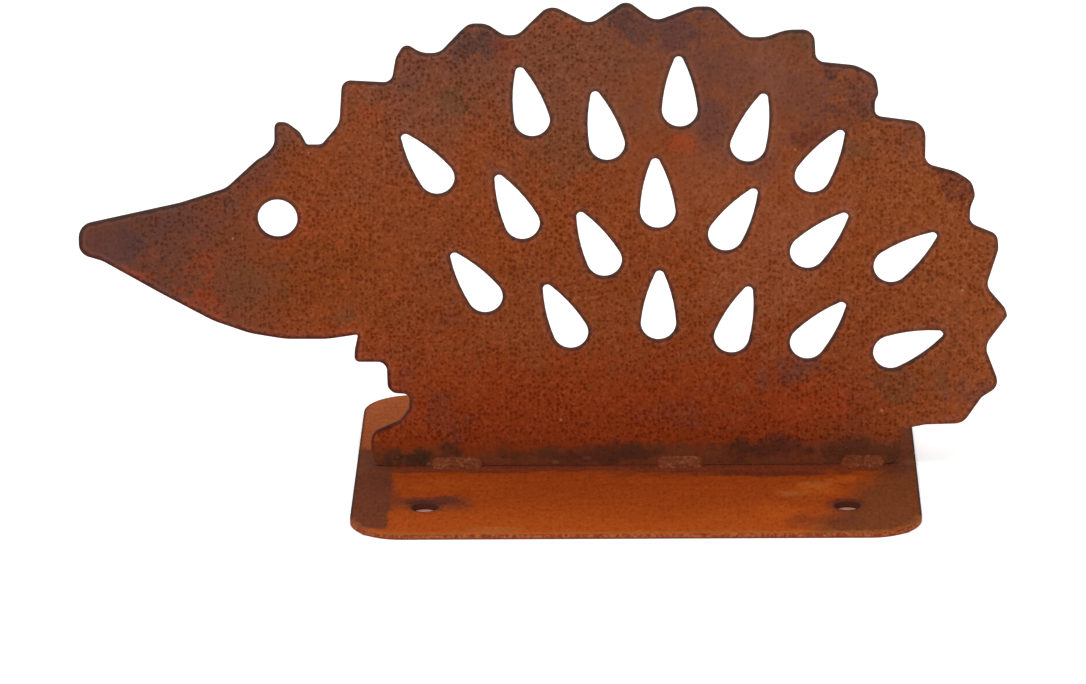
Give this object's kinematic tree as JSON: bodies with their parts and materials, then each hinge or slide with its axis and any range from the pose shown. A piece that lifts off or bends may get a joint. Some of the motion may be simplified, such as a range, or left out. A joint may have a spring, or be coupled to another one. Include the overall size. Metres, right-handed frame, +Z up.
{
  "type": "hedgehog figurine",
  "caption": "Flat sheet-steel hedgehog silhouette with teardrop cut-outs, welded upright on a flat base plate with rounded corners and screw holes.",
  "frame": {"origin": "centre of the base plate's underside, on the surface that it stands on", "axes": "+X along the animal from nose to tail, +Y to the back of the base plate, away from the weld beads, +Z up"},
  "size_m": [0.3, 0.1388, 0.1577],
  "materials": {
    "figure_steel": "mild steel sheet with a matte speckled brown rust patina",
    "base_steel": "mild steel sheet with a matte orange-brown rust patina, darker at its ends",
    "weld_metal": "rippled weld metal under a thin brown rust film"
  },
  "bodies": {
    "root": {"hedgehog_plate": "figure_steel", "base_plate": "base_steel", "weld_bead_head": "weld_metal", "weld_bead_middle": "weld_metal", "weld_bead_tail": "weld_metal"}
  },
  "joints": []
}
